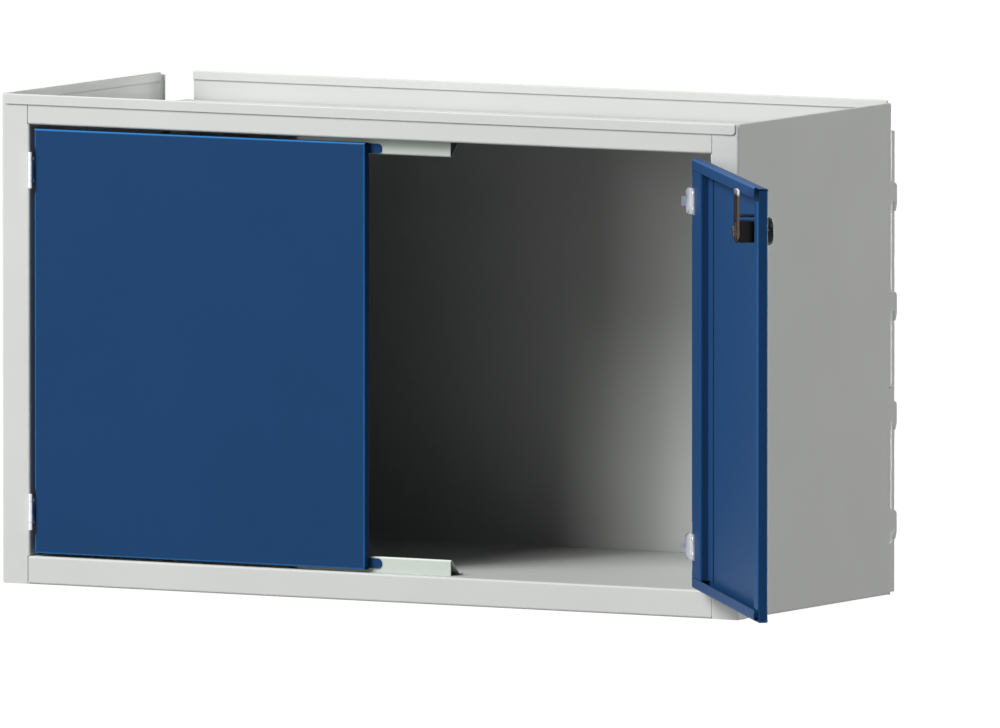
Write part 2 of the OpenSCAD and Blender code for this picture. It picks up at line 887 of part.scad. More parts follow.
module right_door_panel() {
    color(door_blue)
        difference() {
            on_right_door()
                difference() {
                    door_pan();
                    // round lower corners of the lips' ends
                    for (s = [0, 1])
                        translate([0, 0, s*2*door_mid_z])
                            mirror([0, 0, s])
                                translate([
                                    -door_x1 - closing_lip - lip_gap,
                                    door_y1 + overrun,
                                    door_z0 + door_lip
                                ])
                                    rotate([90, 0, 0])
                                        rotate([0, 0, 180])
                                            corner_waste(lip_end_r, door_t + overrun);
                }
            at_lock()
                translate([0, 0, -door_t - overrun])
                    linear_extrude(door_t + 2*overrun)
                        square(lock_housing_w + 2*plug_clear, center = true);
        }
}

module right_door_stiffener() {
    color(door_blue) on_right_door() door_stiffener();
}

// Housing of the lock: a domed face in front, a square body with a bore behind
module lock_housing() {
    body_d = cam_depth - cam_gap;
    color(lock_black)
        at_lock()
            difference() {
                union() {
                    rotate_extrude()
                        intersection() {
                            hull() {
                                square([lock_face_d/2, lock_face_h - lock_shoulder_r]);
                                square([lock_face_d/2 - lock_shoulder_r, lock_face_h]);
                                translate([
                                    lock_face_d/2 - lock_shoulder_r,
                                    lock_face_h - lock_shoulder_r
                                ])
                                    circle(lock_shoulder_r);
                            }
                            translate([0, lock_face_h - lock_crown_r]) circle(lock_crown_r);
                        }
                    translate([0, 0, -body_d])
                        linear_extrude(body_d + overlap/2)
                            square(lock_housing_w, center = true);
                }
                translate([0, 0, -body_d - overrun])
                    cylinder(r = plug_d/2 + plug_clear, h = body_d + lock_face_h + 2*overrun);
                // grooves for the clip behind the door's face
                for (s = [-1, 1])
                    translate([0, s*(lock_housing_w - clip_groove)/2, -door_t - clip_t/2 - plug_clear])
                        cube([
                            lock_housing_w + 2*overrun,
                            clip_groove + plug_clear,
                            clip_t + 2*plug_clear
                        ], center = true);
            }
}

// Fork that holds the housing against the door's face
module lock_clip() {
    color(zinc)
        at_lock()
            translate([0, 0, -door_t - clip_t - plug_clear])
                linear_extrude(clip_t)
                    difference() {
                        square(clip_w, center = true);
                        translate([-overrun, 0])
                            square([
                                lock_housing_w + 2*overrun,
                                lock_housing_w - 2*clip_groove + 2*plug_clear
                            ], center = true);
                        translate([-clip_w + lock_housing_w/2 - clip_groove, 0])
                            square([clip_w, lock_housing_w - 2*clip_groove + 2*plug_clear], center = true);
                    }
    color(zinc)
        at_lock()
            translate([-lock_housing_w/2, clip_w/2 - clip_t/2, cam_gap - cam_depth])
                cube([lock_housing_w, clip_t, cam_depth - cam_gap - door_t - clip_t/2]);
}

// Turning plug with its key slot in front and a square seat for the cam behind
module lock_plug() {
    front = lock_face_h - plug_proud;
    color(zinc)
        at_lock()
            difference() {
                union() {
                    translate([0, 0, -cam_depth])
                        cylinder(d = plug_d, h = cam_depth + front);
                    translate([0, 0, -cam_depth - cam_t])
                        linear_extrude(cam_t + overlap/2)
                            square(cam_seat_w, center = true);
                }
                translate([0, 0, front - key_slot_d/2 + overrun/2])
                    cube([key_slot_w, key_slot_l, key_slot_d + overrun], center = true);
                translate([0, 0, -cam_depth - cam_t - overrun])
                    cylinder(d = cam_screw_d, h = cam_depth/2);
            }
}

// Cam that stands up behind the top strike, with its end rounded about the lock's axis
module lock_cam() {
    color(zinc)
        at_lock()
            translate([0, 0, -cam_depth - cam_t])
                linear_extrude(cam_t)
                    difference() {
                        union() {
                            circle(cam_hub_r);
                            intersection() {
                                circle(cam_reach);
                                translate([-cam_w/2, 0]) square([cam_w, cam_reach]);
                            }
                        }
                        square(cam_seat_w + 2*cam_seat_clear, center = true);
                    }
}

// Screw that holds the cam on the plug
module cam_screw() {
    color(zinc)
        at_lock()
            difference() {
                union() {
                    translate([0, 0, -cam_depth - cam_t - cam_screw_head_h])
                        cylinder(d = cam_screw_head_d, h = cam_screw_head_h);
                    translate([0, 0, -cam_depth - cam_t - overlap/2])
                        cylinder(d = cam_screw_d - 2*cam_seat_clear, h = cam_depth/2 - overlap);
                }
                translate([0, 0, -cam_depth - cam_t - cam_screw_head_h])
                    cube([cam_screw_head_d + overrun, cam_screw_slot, cam_screw_slot*2], center = true);
            }
}

module at_hinge(i) {
    translate([0, 0, hinge_zs[i]]) children();
}

module left_lower_frame_leaf() { at_hinge(0) frame_leaf(); }
module left_upper_frame_leaf() { at_hinge(1) frame_leaf(); }
module right_lower_frame_leaf() { mirror([1, 0, 0]) at_hinge(0) frame_leaf(); }
module right_upper_frame_leaf() { mirror([1, 0, 0]) at_hinge(1) frame_leaf(); }
module left_lower_pin() { at_hinge(0) hinge_pin(); }
module left_upper_pin() { at_hinge(1) hinge_pin(); }
module right_lower_pin() { mirror([1, 0, 0]) at_hinge(0) hinge_pin(); }
module right_upper_pin() { mirror([1, 0, 0]) at_hinge(1) hinge_pin(); }
module left_frame_rivets() { frame_rivets(); }
module right_frame_rivets() { mirror([1, 0, 0]) frame_rivets(); }
module left_lower_door_leaf() { at_hinge(0) door_leaf(); }
module left_upper_door_leaf() { at_hinge(1) door_leaf(); }
module right_lower_door_leaf() { on_right_door() at_hinge(0) door_leaf(); }
module right_upper_door_leaf() { on_right_door() at_hinge(1) door_leaf(); }
module left_door_rivets() { door_rivets(); }
module right_door_rivets() { on_right_door() door_rivets(); }

left_side();
right_side();
floor_panel();
top_tray();
back_panel();
top_strike();
bottom_strike();
left_lower_frame_leaf();
left_upper_frame_leaf();
right_lower_frame_leaf();
right_upper_frame_leaf();
left_lower_pin();
left_upper_pin();
right_lower_pin();
right_upper_pin();
left_frame_rivets();
right_frame_rivets();
left_door_panel();
left_door_stiffener();
left_lower_door_leaf();
left_upper_door_leaf();
left_door_rivets();
right_door_panel();
right_door_stiffener();
right_lower_door_leaf();
right_upper_door_leaf();
right_door_rivets();
lock_housing();
lock_clip();
lock_plug();
lock_cam();
cam_screw();
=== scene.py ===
"""Finished look of a wall-hung double door cabinet in folded sheet steel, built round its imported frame."""

import json
import math

import bpy
from mathutils import Matrix, Vector


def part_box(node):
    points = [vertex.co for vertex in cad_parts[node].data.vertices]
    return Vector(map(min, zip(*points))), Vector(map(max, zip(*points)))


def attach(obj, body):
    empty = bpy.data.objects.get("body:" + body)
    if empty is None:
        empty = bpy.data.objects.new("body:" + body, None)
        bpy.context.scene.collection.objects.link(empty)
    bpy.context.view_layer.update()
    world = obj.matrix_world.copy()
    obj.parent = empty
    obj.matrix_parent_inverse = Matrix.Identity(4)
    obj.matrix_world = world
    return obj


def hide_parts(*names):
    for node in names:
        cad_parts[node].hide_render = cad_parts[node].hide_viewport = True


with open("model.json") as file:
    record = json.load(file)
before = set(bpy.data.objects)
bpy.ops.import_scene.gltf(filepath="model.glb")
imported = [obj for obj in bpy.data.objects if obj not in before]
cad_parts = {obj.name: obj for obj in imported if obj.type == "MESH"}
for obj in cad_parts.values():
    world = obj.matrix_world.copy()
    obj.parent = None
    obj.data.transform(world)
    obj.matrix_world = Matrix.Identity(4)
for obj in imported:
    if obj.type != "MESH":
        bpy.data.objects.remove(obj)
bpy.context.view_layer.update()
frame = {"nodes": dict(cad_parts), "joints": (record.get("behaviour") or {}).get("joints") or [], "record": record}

bl_info = {
    "name": "Double door cabinet",
    "version": (1, 0, 0),
    "blender": (4, 5, 0),
    "location": "3D View > Sidebar > Cabinet",
    "description": "Dresses the frame of a folded steel cabinet with two doors, hinges and a cam lock",
    "category": "Object",
}

MM = 0.001
UP = Vector((0, 0, 1))
# vertices closer than this are one vertex
WELD = 0.002 * MM


def linear_of(hex_code):
    """Turns an sRGB hex colour into the linear values that a shader takes."""
    channels = [int(hex_code[i:i + 2], 16) / 255 for i in (0, 2, 4)]
    return [c / 12.92 if c <= 0.04045 else ((c + 0.055) / 1.055) ** 2.4 for c in channels]


# Settings

class FoldedSheetSettings(bpy.types.PropertyGroup):
    edge_round: bpy.props.FloatProperty(
        name="Edge rounding", description="Rounding of the cut edges of the coated sheets",
        default=0.22 * MM, min=0.05 * MM, max=0.5 * MM, precision=5, unit="LENGTH")
    casting_round: bpy.props.FloatProperty(
        name="Casting rounding", description="Rounding of the edges of the hinge leaves and the lock",
        default=0.12 * MM, min=0.05 * MM, max=0.6 * MM, precision=5, unit="LENGTH")
    smooth_angle: bpy.props.FloatProperty(
        name="Smooth angle", description="Faces that meet at less than this are shaded as one curve",
        default=math.radians(38), subtype="ANGLE")


class PaintSettings(bpy.types.PropertyGroup):
    body: bpy.props.FloatVectorProperty(
        name="Body paint", description="Light grey powder coat of the cabinet's body",
        default=linear_of("D6D8D5"), size=3, min=0, max=1, subtype="COLOR")
    strike: bpy.props.FloatVectorProperty(
        name="Strike paint", description="Grey-green powder coat of the two strikes",
        default=linear_of("CCD6CD"), size=3, min=0, max=1, subtype="COLOR")
    door: bpy.props.FloatVectorProperty(
        name="Door paint", description="Blue powder coat of the doors",
        default=linear_of("1B3F6A"), size=3, min=0, max=1, subtype="COLOR")
    # painted highlight: the lighter blue of the doors' outer bends stands in for the light that they catch
    bend: bpy.props.FloatVectorProperty(
        name="Door paint on bends", description="Lighter blue of the thin coat on the outer bends of the doors",
        default=linear_of("3A94E4"), size=3, min=0, max=1, subtype="COLOR")
    peel_size: bpy.props.FloatProperty(
        name="Peel size", description="Width of one swell of the coating's orange peel",
        default=2.4 * MM, min=0.5 * MM, max=6 * MM, precision=5, unit="LENGTH")
    peel_depth: bpy.props.FloatProperty(
        name="Peel depth", description="Height of the coating's orange peel",
        default=0.012 * MM, min=0, max=0.1 * MM, precision=6, unit="LENGTH")


class StageSettings(bpy.types.PropertyGroup):
    floor_drop: bpy.props.FloatProperty(
        name="Floor drop", description="How far the floor lies below the hanging cabinet",
        default=0.9, min=0, unit="LENGTH")
    lamp_level: bpy.props.FloatProperty(
        name="Lamp level", description="Strength of all the lamps together, 1 for a plain level",
        default=1.0, min=0, max=4)
    sky_level: bpy.props.FloatProperty(
        name="Surroundings", description="Brightness of the surroundings that light the cabinet",
        default=0.04, min=0, max=2)
    sheet_bounces: bpy.props.IntProperty(
        name="Sheet bounces", description="Times that light passes on between the sheets, few for a dark inside",
        default=1, min=0, max=8)
    camera_turn: bpy.props.FloatProperty(
        name="Camera turn", description="Angle of the camera to the right of the front",
        default=math.radians(29.0567), subtype="ANGLE")
    camera_rise: bpy.props.FloatProperty(
        name="Camera rise", description="Angle of the camera above the horizon",
        default=math.radians(4.8785), subtype="ANGLE")
    camera_distance: bpy.props.FloatProperty(
        name="Camera distance", description="Distance of the camera from the point it looks at",
        default=30, min=1, unit="LENGTH")
    view_width: bpy.props.FloatProperty(
        name="View width", description="Width that the picture shows at the point looked at",
        default=0.91392, min=0.1, unit="LENGTH")


# Meshes

def deselect_all():
    for piece in bpy.context.selected_objects:
        piece.select_set(False)


def link(made):
    bpy.context.scene.collection.objects.link(made)
    return made


def make_active(piece):
    deselect_all()
    piece.select_set(True)
    bpy.context.view_layer.objects.active = piece


def apply_modifier(piece, kind, **settings):
    make_active(piece)
    modifier = piece.modifiers.new(kind.title(), kind)
    for key, value in settings.items():
        setattr(modifier, key, value)
    bpy.ops.object.modifier_apply(modifier=modifier.name)


def smooth(piece):
    """Shades bends as curves and keeps the flats beside them flat."""
    make_active(piece)
    bpy.ops.object.shade_smooth_by_angle(angle=bpy.context.scene.cabinet_sheets.smooth_angle,
                                         keep_sharp_edges=False)
    apply_modifier(piece, "WEIGHTED_NORMAL", keep_sharp=True, weight=50)


def finish(piece, node, material):
    """Gives a piece its material and its body, and lets it stand for its node."""
    piece.data.materials.clear()
    piece.data.materials.append(material)
    bodies = frame["record"]["behaviour"]["bodies"]
    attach(piece, next(b for b, members in bodies.items() if node in members))
    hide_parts(node)
    return piece


def merged_copy(node):
    """A new piece with a node's shape, its loose triangles merged into whole flat faces."""
    piece = link(bpy.data.objects.new(node + "_finished", frame["nodes"][node].data.copy()))
    piece.data.materials.clear()
    make_active(piece)
    bpy.ops.object.mode_set(mode="EDIT")
    bpy.ops.mesh.select_all(action="SELECT")
    bpy.ops.mesh.customdata_custom_splitnormals_clear()
    bpy.ops.mesh.remove_doubles(threshold=WELD)
    bpy.ops.mesh.dissolve_limited(angle_limit=math.radians(0.5))
    bpy.ops.object.mode_set(mode="OBJECT")
    return piece


def mark_bend_highlights(piece, door_turn):
    """Writes a painted-highlight attribute that is 0 on a sheet's flats and highest halfway round its bends, where
    they catch the light.
    """
    bend = piece.data.attributes.new("bend", "FLOAT", "POINT")
    square = Matrix.Rotation(-door_turn, 3, "Z")
    for vertex, mark in zip(piece.data.vertices, bend.data):
        normal = square @ vertex.normal
        along_axis = max(abs(part) for part in normal)
        # painted highlight, weaker on the bends that don't face the front, where less light falls
        weight = 1.0 if normal.y < -0.1 else 0.35
        mark.value = weight * min(1.0, (1 - along_axis) / (1 - math.sqrt(0.5)))


def finish_folded(node, material, rounding):
    """A sheet or casting with its node's shape, its cut edges rounded and its bends shaded as curves."""
    piece = merged_copy(node)
    apply_modifier(piece, "BEVEL", width=rounding, segments=2, limit_method="ANGLE",
                   angle_limit=math.radians(40), use_clamp_overlap=True, loop_slide=True)
    smooth(piece)
    return finish(piece, node, material)


def turned(name, profile, steps=40):
    """A turned piece about Z: a vertex is drawn along the profile's radii and heights, and spun."""
    deselect_all()
    bpy.ops.mesh.primitive_plane_add(size=MM)
    piece = bpy.context.active_object
    piece.name = name
    bpy.ops.object.mode_set(mode="EDIT")
    bpy.ops.mesh.select_all(action="SELECT")
    bpy.ops.mesh.merge(type="CENTER")
    points = [Vector((r * MM, 0, z * MM)) for r, z in profile]
    bpy.ops.transform.translate(value=points[0])
    for a, b in zip(points, points[1:]):
        bpy.ops.mesh.extrude_region_move(TRANSFORM_OT_translate={"value": b - a})
    bpy.ops.mesh.select_all(action="SELECT")
    bpy.ops.mesh.spin(steps=steps, angle=2 * math.pi, center=(0, 0, 0), axis=(0, 0, 1))
    bpy.ops.mesh.select_all(action="SELECT")
    bpy.ops.mesh.remove_doubles(threshold=WELD)
    bpy.ops.mesh.normals_make_consistent(inside=False)
    bpy.ops.object.mode_set(mode="OBJECT")
    return piece


def place(piece, matrix):
    """Moves a piece made at the origin to its place, which goes into its mesh."""
    piece.data.transform(matrix)
    if matrix.determinant() < 0:
        piece.data.flip_normals()
    return piece


def copy_of(piece, name):
    return link(bpy.data.objects.new(name, piece.data.copy()))


def join(pieces, name):
    make_active(pieces[0])
    for p in pieces:
        p.select_set(True)
    bpy.ops.object.join()
    pieces[0].name = name
    return pieces[0]


def along(direction, origin):
    """Place of a piece whose Z axis points in a level direction from an origin."""
    z = Vector(direction).normalized()
    x = UP.cross(z).normalized()
    y = z.cross(x)
    return Matrix.Translation(Vector(origin)) @ Matrix((x, y, z)).transposed().to_4x4()


def joint(name):
    return next(j for j in frame["joints"] if j["name"] == name)


def right_door_opening():
    """Angle in radians by which the right door stands open."""
    return -math.radians(joint("right_door_hinge")["range_deg"][0])


def on_open_right_door():
    """Turns what is drawn on the closed left door into its twin on the open right door."""
    pos = Vector(joint("right_door_hinge")["pos_m"])
    return (Matrix.Translation(pos) @ Matrix.Rotation(right_door_opening(), 4, "Z") @ Matrix.Translation(-pos)
            @ Matrix.Scale(-1, 4, (1, 0, 0)))


def at_lock():
    """Place of the lock on the open door, its Z axis out of the door's face."""
    turn = joint("lock_turn")
    return along(-Vector(turn["axis"]), turn["pos_m"])


# Materials

def add_node(tree, kind, settings=None, links=None):
    """Adds a node, sets its properties and its sockets, and links its inputs."""
    node = tree.nodes.new(kind)
    for key, value in (settings or {}).items():
        if key in node.inputs:
            node.inputs[key].default_value = value
        else:
            setattr(node, key, value)
    for key, socket in (links or {}).items():
        tree.links.new(socket, node.inputs[key])
    return node


def new_material(name, viewport):
    material = bpy.data.materials.new(name)
    material.use_nodes = True
    material.node_tree.nodes.clear()
    material.diffuse_color = (*viewport, 1)
    return material, material.node_tree


def spread(tree, noise, low, high):
    """Stretches what a noise usually gives, 0.3 to 0.7, over a range."""
    reach = {"From Min": 0.3, "From Max": 0.7, "To Min": low, "To Max": high}
    return add_node(tree, "ShaderNodeMapRange", reach, {"Value": noise.outputs["Fac"]}).outputs["Result"]


def toned(tree, colour, tone):
    """A colour multiplied by a tone."""
    mix = add_node(tree, "ShaderNodeMix", {"data_type": "RGBA", "blend_type": "MULTIPLY"})
    mix.inputs[0].default_value = 1
    mix.inputs[6].default_value = (*colour, 1)
    tree.links.new(tone, mix.inputs[7])
    return mix.outputs[2]


def faded(tree, colour, other, share):
    """A colour that gives way to another by a share."""
    mix = add_node(tree, "ShaderNodeMix", {"data_type": "RGBA"}, {"Factor": share})
    tree.links.new(colour, mix.inputs[6])
    mix.inputs[7].default_value = (*other, 1)
    return mix.outputs[2]


def powder_coat(name, colour, roughness, specular, tint=(1, 1, 1), bend_highlight_colour=None):
    """Satin powder coat on steel: an even colour over fine orange peel, with soft broad reflections, and a painted
    highlight on the bends when a colour is given for it.
    """
    paint = bpy.context.scene.cabinet_paint
    material, tree = new_material(name, colour)
    where = add_node(tree, "ShaderNodeTexCoord").outputs["Object"]
    # the film is a little thicker in some places, over about 90 mm, which shifts its tone by 1.5%
    drift = add_node(tree, "ShaderNodeTexNoise", {"Scale": 1 / (90 * MM), "Detail": 1.0}, {"Vector": where})
    base = toned(tree, colour, spread(tree, drift, 0.985, 1.015))
    if bend_highlight_colour:
        # painted highlight: the bends are coloured lighter than the flats beside them, for the light that they catch
        bend = add_node(tree, "ShaderNodeAttribute", {"attribute_name": "bend"})
        base = faded(tree, base, bend_highlight_colour, bend.outputs["Fac"])
    # real orange peel is about 1.5 mm wide, and is drawn wider so that it shows
    peel = add_node(tree, "ShaderNodeTexNoise",
                    {"Scale": 1 / paint.peel_size, "Detail": 2.0, "Roughness": 0.45}, {"Vector": where})
    bump = add_node(tree, "ShaderNodeBump", {"Strength": 1.0, "Distance": paint.peel_depth},
                    {"Height": peel.outputs["Fac"]})
    sheen = spread(tree, peel, roughness - 0.03, roughness + 0.03)
    shader = add_node(tree, "ShaderNodeBsdfPrincipled",
                      {"IOR": 1.5, "Specular IOR Level": specular, "Specular Tint": (*tint, 1)},
                      {"Base Color": base, "Roughness": sheen, "Normal": bump.outputs["Normal"]})
    add_node(tree, "ShaderNodeOutputMaterial", None, {"Surface": shader.outputs["BSDF"]})
    return material


def plated_metal(name, colour, roughness, spangle, tip_highlight_above=None, tip_highlight_colour=None):
    """Electroplated metal: clean, with faint cloudy patches in its gloss, and a lighter painted highlight above a
    height.
    """
    material, tree = new_material(name, colour)
    where = add_node(tree, "ShaderNodeTexCoord").outputs["Object"]
    patches = add_node(tree, "ShaderNodeTexNoise", {"Scale": 1 / (spangle * MM), "Detail": 3.0},
                       {"Vector": where})
    gloss = spread(tree, patches, roughness - 0.06, roughness + 0.08)
    base = toned(tree, colour, spread(tree, patches, 0.93, 1.0))
    if tip_highlight_above:
        # the edge of the painted highlight is ragged by a few millimetres
        height = add_node(tree, "ShaderNodeSeparateXYZ", None, {"Vector": where})
        ragged = add_node(tree, "ShaderNodeMath", {"operation": "MULTIPLY_ADD"})
        tree.links.new(patches.outputs["Fac"], ragged.inputs[0])
        ragged.inputs[1].default_value = 5 * MM
        tree.links.new(height.outputs["Z"], ragged.inputs[2])
        tip_highlight = add_node(tree, "ShaderNodeMapRange",
                          {"From Min": tip_highlight_above, "From Max": tip_highlight_above + 2.2 * MM},
                          {"Value": ragged.outputs["Value"]})
        base = faded(tree, base, tip_highlight_colour, tip_highlight.outputs["Result"])
    grain = add_node(tree, "ShaderNodeBump", {"Strength": 1.0, "Distance": 0.004 * MM},
                     {"Height": patches.outputs["Fac"]})
    shader = add_node(tree, "ShaderNodeBsdfPrincipled", {"Metallic": 1.0},
                      {"Base Color": base, "Roughness": gloss, "Normal": grain.outputs["Normal"]})
    add_node(tree, "ShaderNodeOutputMaterial", None, {"Surface": shader.outputs["BSDF"]})
    return material


def finishes():
    """The cabinet's materials, made once and then shared."""
    if "zinc_plated_steel" in bpy.data.materials:
        return {m.name: m for m in bpy.data.materials}
    paint = bpy.context.scene.cabinet_paint
    # light grey coat of the body's sheets
    powder_coat("light_grey_powder_coat", paint.body, 0.5, 0.22)
    # slightly greener coat of the strikes, with a nearly white painted highlight on the bends
    powder_coat("grey_green_powder_coat", paint.strike, 0.5, 0.22, bend_highlight_colour=linear_of("F8FCF8"))
    # blue coat of the door panels, with a painted highlight on their bends, and of the stiffeners, which have none in
    # sight
    blue_gloss = (0.55, 0.8, 1.0)
    powder_coat("blue_powder_coat", paint.door, 0.55, 0.12, blue_gloss, paint.bend)
    powder_coat("blue_powder_coat_flat", paint.door, 0.55, 0.12, blue_gloss)
    # black epoxy coat on die-cast zinc: satin, its edges catch a clear light
    powder_coat("black_epoxy_on_die_casting", linear_of("060606"), 0.24, 0.16)
    # bright zinc on the hinge leaves, pins and rivets, a little dulled
    plated_metal("zinc_plated_steel", linear_of("D8DADE"), 0.32, 5)
    # black-passivated zinc on the cam: brownish grey, with a bright painted highlight on the tip that slides behind
    # the strike
    plated_metal("black_passivated_steel", linear_of("5C544C"), 0.3, 4,
                 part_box("lock_cam")[1].z - 3.4 * MM, linear_of("DEDEDC"))
    # nickel on the brass plug with the key slot
    plated_metal("nickel_plated_brass", linear_of("D2CFC8"), 0.2, 3)
    return {m.name: m for m in bpy.data.materials}


# Pieces

# steps round a pin or rivet
SMALL_STEPS = 28
# the rivets' radii in mm, and the pitch of the two rivets in a leaf
RIVET_HEAD_R = 2.7
RIVET_SHANK_R = 1.5
FRAME_RIVET_PITCH = 18
DOOR_RIVET_PITCH = 14


class CABINET_OT_body(bpy.types.Operator):
    """Sides, floor, tray and back of the cabinet in light grey powder coat"""
    bl_idname = "cabinet.body"
    bl_label = "Body sheets"

    def execute(self, context):
        paint = finishes()["light_grey_powder_coat"]
        for node in ("left_side", "right_side", "floor_panel", "top_tray", "back_panel"):
            finish_folded(node, paint, context.scene.cabinet_sheets.edge_round)
        return {"FINISHED"}


class CABINET_OT_strikes(bpy.types.Operator):
    """Strikes that the doors close against, at the top and the bottom"""
    bl_idname = "cabinet.strikes"
    bl_label = "Strikes"

    def execute(self, context):
        paint = finishes()["grey_green_powder_coat"]
        edge = context.scene.cabinet_sheets.edge_round
        finish_folded("top_strike", paint, edge)
        # only the bottom strike has a fold that faces up, where a painted highlight draws a light line
        mark_bend_highlights(finish_folded("bottom_strike", paint, edge), 0)
        return {"FINISHED"}


class CABINET_OT_doors(bpy.types.Operator):
    """Door panels and their stiffeners in blue powder coat"""
    bl_idname = "cabinet.doors"
    bl_label = "Doors"

    def execute(self, context):
        materials = finishes()
        edge = context.scene.cabinet_sheets.edge_round
        for side, turn in (("left", 0), ("right", right_door_opening())):
            panel = finish_folded(side + "_door_panel", materials["blue_powder_coat"], edge)
            mark_bend_highlights(panel, turn)
            finish_folded(side + "_door_stiffener", materials["blue_powder_coat_flat"], edge)
        return {"FINISHED"}


class CABINET_OT_hinge_leaves(bpy.types.Operator):
    """Zinc plated leaves of the four hinges"""
    bl_idname = "cabinet.hinge_leaves"
    bl_label = "Hinge leaves"

    def execute(self, context):
        zinc = finishes()["zinc_plated_steel"]
        for node in frame["nodes"]:
            if node.endswith("_leaf"):
                finish_folded(node, zinc, context.scene.cabinet_sheets.casting_round)
        return {"FINISHED"}


class CABINET_OT_hinge_pins(bpy.types.Operator):
    """Hinge pins with a low dome on each head"""
    bl_idname = "cabinet.hinge_pins"
    bl_label = "Hinge pins"

    def execute(self, context):
        zinc = finishes()["zinc_plated_steel"]
        for node in frame["nodes"]:
            if not node.endswith("_pin"):
                continue
            low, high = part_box(node)
            half = (high.z - low.z) / 2 / MM
            head_r = (high.x - low.x) / 2 / MM
            shank_r = 1.15
            under_head = half - 0.8
            upper = [
                (shank_r, under_head), (head_r - 0.1, under_head), (head_r, half - 0.55), (head_r - 0.12, half - 0.3),
                (head_r * 0.7, half - 0.1), (0, half)]
            profile = [(r, -z) for r, z in reversed(upper)] + upper
            pin = turned(node + "_finished", profile, SMALL_STEPS)
            place(pin, Matrix.Translation((low + high) / 2))
            smooth(pin)
            finish(pin, node, zinc)
        return {"FINISHED"}


class CABINET_OT_rivets(bpy.types.Operator):
    """Domed rivets that hold the hinge leaves"""
    bl_idname = "cabinet.rivets"
    bl_label = "Rivets"

    def execute(self, context):
        zinc = finishes()["zinc_plated_steel"]
        for side in ("left", "right"):
            low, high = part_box(side + "_frame_rivets")
            sign, start = (1, low.x) if side == "left" else (-1, high.x)
            self.row(side + "_frame_rivets", (high.x - low.x) / MM,
                     [along((sign, 0, 0), (start, (low.y + high.y) / 2, z))
                      for z in self.heights(low, high, FRAME_RIVET_PITCH)], zinc)
        low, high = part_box("left_door_rivets")
        places = [along((0, 1, 0), ((low.x + high.x) / 2, low.y, z))
                  for z in self.heights(low, high, DOOR_RIVET_PITCH)]
        length = (high.y - low.y) / MM
        self.row("left_door_rivets", length, places, zinc)
        opened = on_open_right_door()
        self.row("right_door_rivets", length, [opened @ m for m in places], zinc)
        return {"FINISHED"}

    def heights(self, low, high, pitch):
        """Heights of the two rivets in the lower leaf and the two in the upper leaf."""
        first, second = RIVET_HEAD_R * MM, (RIVET_HEAD_R + pitch) * MM
        return low.z + first, low.z + second, high.z - second, high.z - first

    def row(self, node, length, places, material):
        """Rivets of one length, with a formed head on one end and a domed head on the other."""
        head_r, shank_r = RIVET_HEAD_R, RIVET_SHANK_R
        profile = [
            (0, 0), (head_r * 0.6, 0.12), (head_r * 0.9, 0.42), (head_r, 0.95), (shank_r, 1.0),
            (shank_r, length - 0.8), (head_r, length - 0.75), (head_r * 0.94, length - 0.4),
            (head_r * 0.62, length - 0.1), (0, length)]
        rivet = turned(node + "_finished", profile, SMALL_STEPS)
        twins = [place(copy_of(rivet, node), m) for m in places[1:]]
        place(rivet, places[0])
        rivets = join([rivet] + twins, node + "_finished")
        smooth(rivets)
        finish(rivets, node, material)


class CABINET_OT_lock(bpy.types.Operator):
    """Cam lock: housing with its domed face, plug, cam, screw and clip"""
    bl_idname = "cabinet.lock"
    bl_label = "Lock"

    def execute(self, context):
        materials = finishes()
        casting = context.scene.cabinet_sheets.casting_round
        finish_folded("lock_housing", materials["black_epoxy_on_die_casting"], casting)
        finish_folded("lock_plug", materials["nickel_plated_brass"], casting)
        finish_folded("lock_cam", materials["black_passivated_steel"], casting)
        self.screw(materials["black_passivated_steel"])
        finish_folded("lock_clip", materials["black_epoxy_on_die_casting"], casting)
        return {"FINISHED"}

    def screw(self, material):
        """Slotted screw with a washer face, which holds the cam on the plug."""
        cam = frame["nodes"]["lock_cam"].data
        turn = joint("lock_turn")
        out, pos = -Vector(turn["axis"]), Vector(turn["pos_m"])
        seat = min((v.co - pos).dot(out) for v in cam.vertices) / MM
        head_h, head_r, washer_r, shank_r, shank_length = 3, 5, 7.8, 1.9, 10
        slot_w, slot_depth = 1.2, 1.2
        profile = [
            (0, seat - head_h), (2.8, seat - 2.95), (4.3, seat - 2.6), (head_r, seat - 1.9), (head_r, seat - 0.95),
            (washer_r - 0.2, seat - 0.9), (washer_r, seat - 0.7), (washer_r, seat - 0.1), (washer_r - 0.1, seat),
            (shank_r, seat), (shank_r, seat + shank_length), (0, seat + shank_length)]
        screw = turned("cam_screw_finished", profile)
        deselect_all()
        bpy.ops.mesh.primitive_cube_add(size=1, location=(0, 0, (seat - head_h) * MM),
                                        scale=(2.4 * head_r * MM, slot_w * MM, 2 * slot_depth * MM))
        slot = bpy.context.active_object
        apply_modifier(screw, "BOOLEAN", operation="DIFFERENCE", object=slot, solver="EXACT")
        bpy.data.objects.remove(slot)
        smooth(place(screw, at_lock()))
        finish(screw, "cam_screw", material)


# Stage

# the middle of the cabinet, which the lamps point at
MIDDLE = Vector((0, -0.15, 0.225))
# point that the picture's middle shows
CAMERA_AIM = Vector((0.04444, -0.12714, 0.20624))
# each lamp's place, width in metres and power in watts
LAMPS = {
    "soft_key": ((-3.36, -4.91, 5.75), 3.4, 405),
    "high_front": ((-1.6, -6.2, 5.0), 2.4, 155),
    "front_key": ((-3.6, -6.4, 3.2), 2.4, 108),
    "front_fill": ((-2.6, -7.7, 1.0), 2.0, 70),
    "right_fill": ((6.2, 0.35, 5.2), 3.0, 224),
    "back_fill": ((0.0, 5.5, 0.2), 1.8, 240),
}


